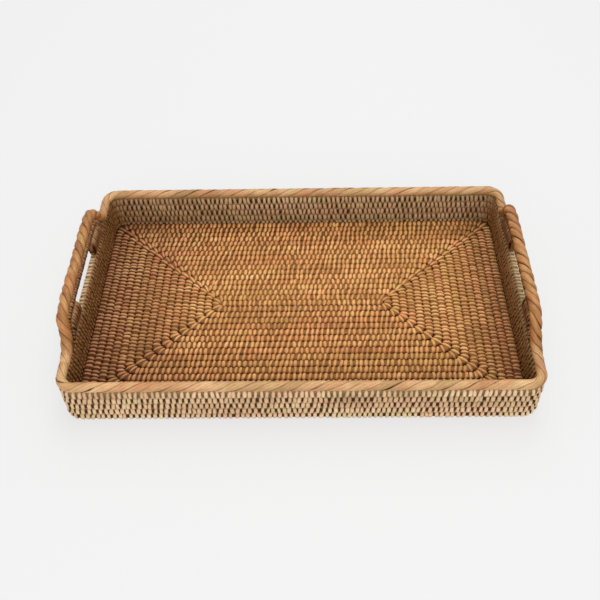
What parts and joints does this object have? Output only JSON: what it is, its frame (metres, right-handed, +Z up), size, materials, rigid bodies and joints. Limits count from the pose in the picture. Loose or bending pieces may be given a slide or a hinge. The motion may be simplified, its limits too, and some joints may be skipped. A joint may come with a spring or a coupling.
{
  "type": "serving tray",
  "caption": "Rectangular coiled rattan serving tray with lashed cane floor and wall, a wrapped rim, and a hand slot under an arched handle at each end.",
  "frame": {"origin": "under the middle of the tray, on the plane it stands on", "axes": "+X along the tray's length towards one handle, +Y across its width, +Z up out of the open top"},
  "size_m": [0.4785, 0.2996, 0.083],
  "materials": {
    "floor_cane": "satin lashed rattan peel, honey brown",
    "wall_cane": "satin lashed rattan peel, straw brown",
    "rim_cane": "smooth broad rattan wrapping, straw to tan",
    "handle_cane": "fine rattan lashing, darker brown"
  },
  "bodies": {
    "root": {"floor_start_cane": "floor_cane", "floor_course_01": "floor_cane", "floor_course_02": "floor_cane", "floor_course_03": "floor_cane", "floor_course_04": "floor_cane", "floor_course_05": "floor_cane", "floor_course_06": "floor_cane", "floor_course_07": "floor_cane", "floor_course_08": "floor_cane", "floor_course_09": "floor_cane", "floor_course_10": "floor_cane", "floor_course_11": "floor_cane", "floor_course_12": "floor_cane", "floor_course_13": "floor_cane", "floor_course_14": "floor_cane", "floor_course_15": "floor_cane", "floor_course_16": "floor_cane", "wall_course_1": "wall_cane", "wall_course_2": "wall_cane", "wall_course_3": "wall_cane", "wall_course_4": "wall_cane", "wall_course_5": "wall_cane", "rim_cane_front": "rim_cane", "rim_cane_back": "rim_cane", "handle_arch_left": "rim_cane", "handle_arch_right": "rim_cane", "handle_under_cane_left": "handle_cane", "handle_filler_left_front_lower": "handle_cane", "handle_filler_left_front_upper": "handle_cane", "handle_filler_left_back_lower": "handle_cane", "handle_filler_left_back_upper": "handle_cane", "handle_under_cane_right": "handle_cane", "handle_filler_right_front_lower": "handle_cane", "handle_filler_right_front_upper": "handle_cane", "handle_filler_right_back_lower": "handle_cane", "handle_filler_right_back_upper": "handle_cane"}
  },
  "joints": []
}
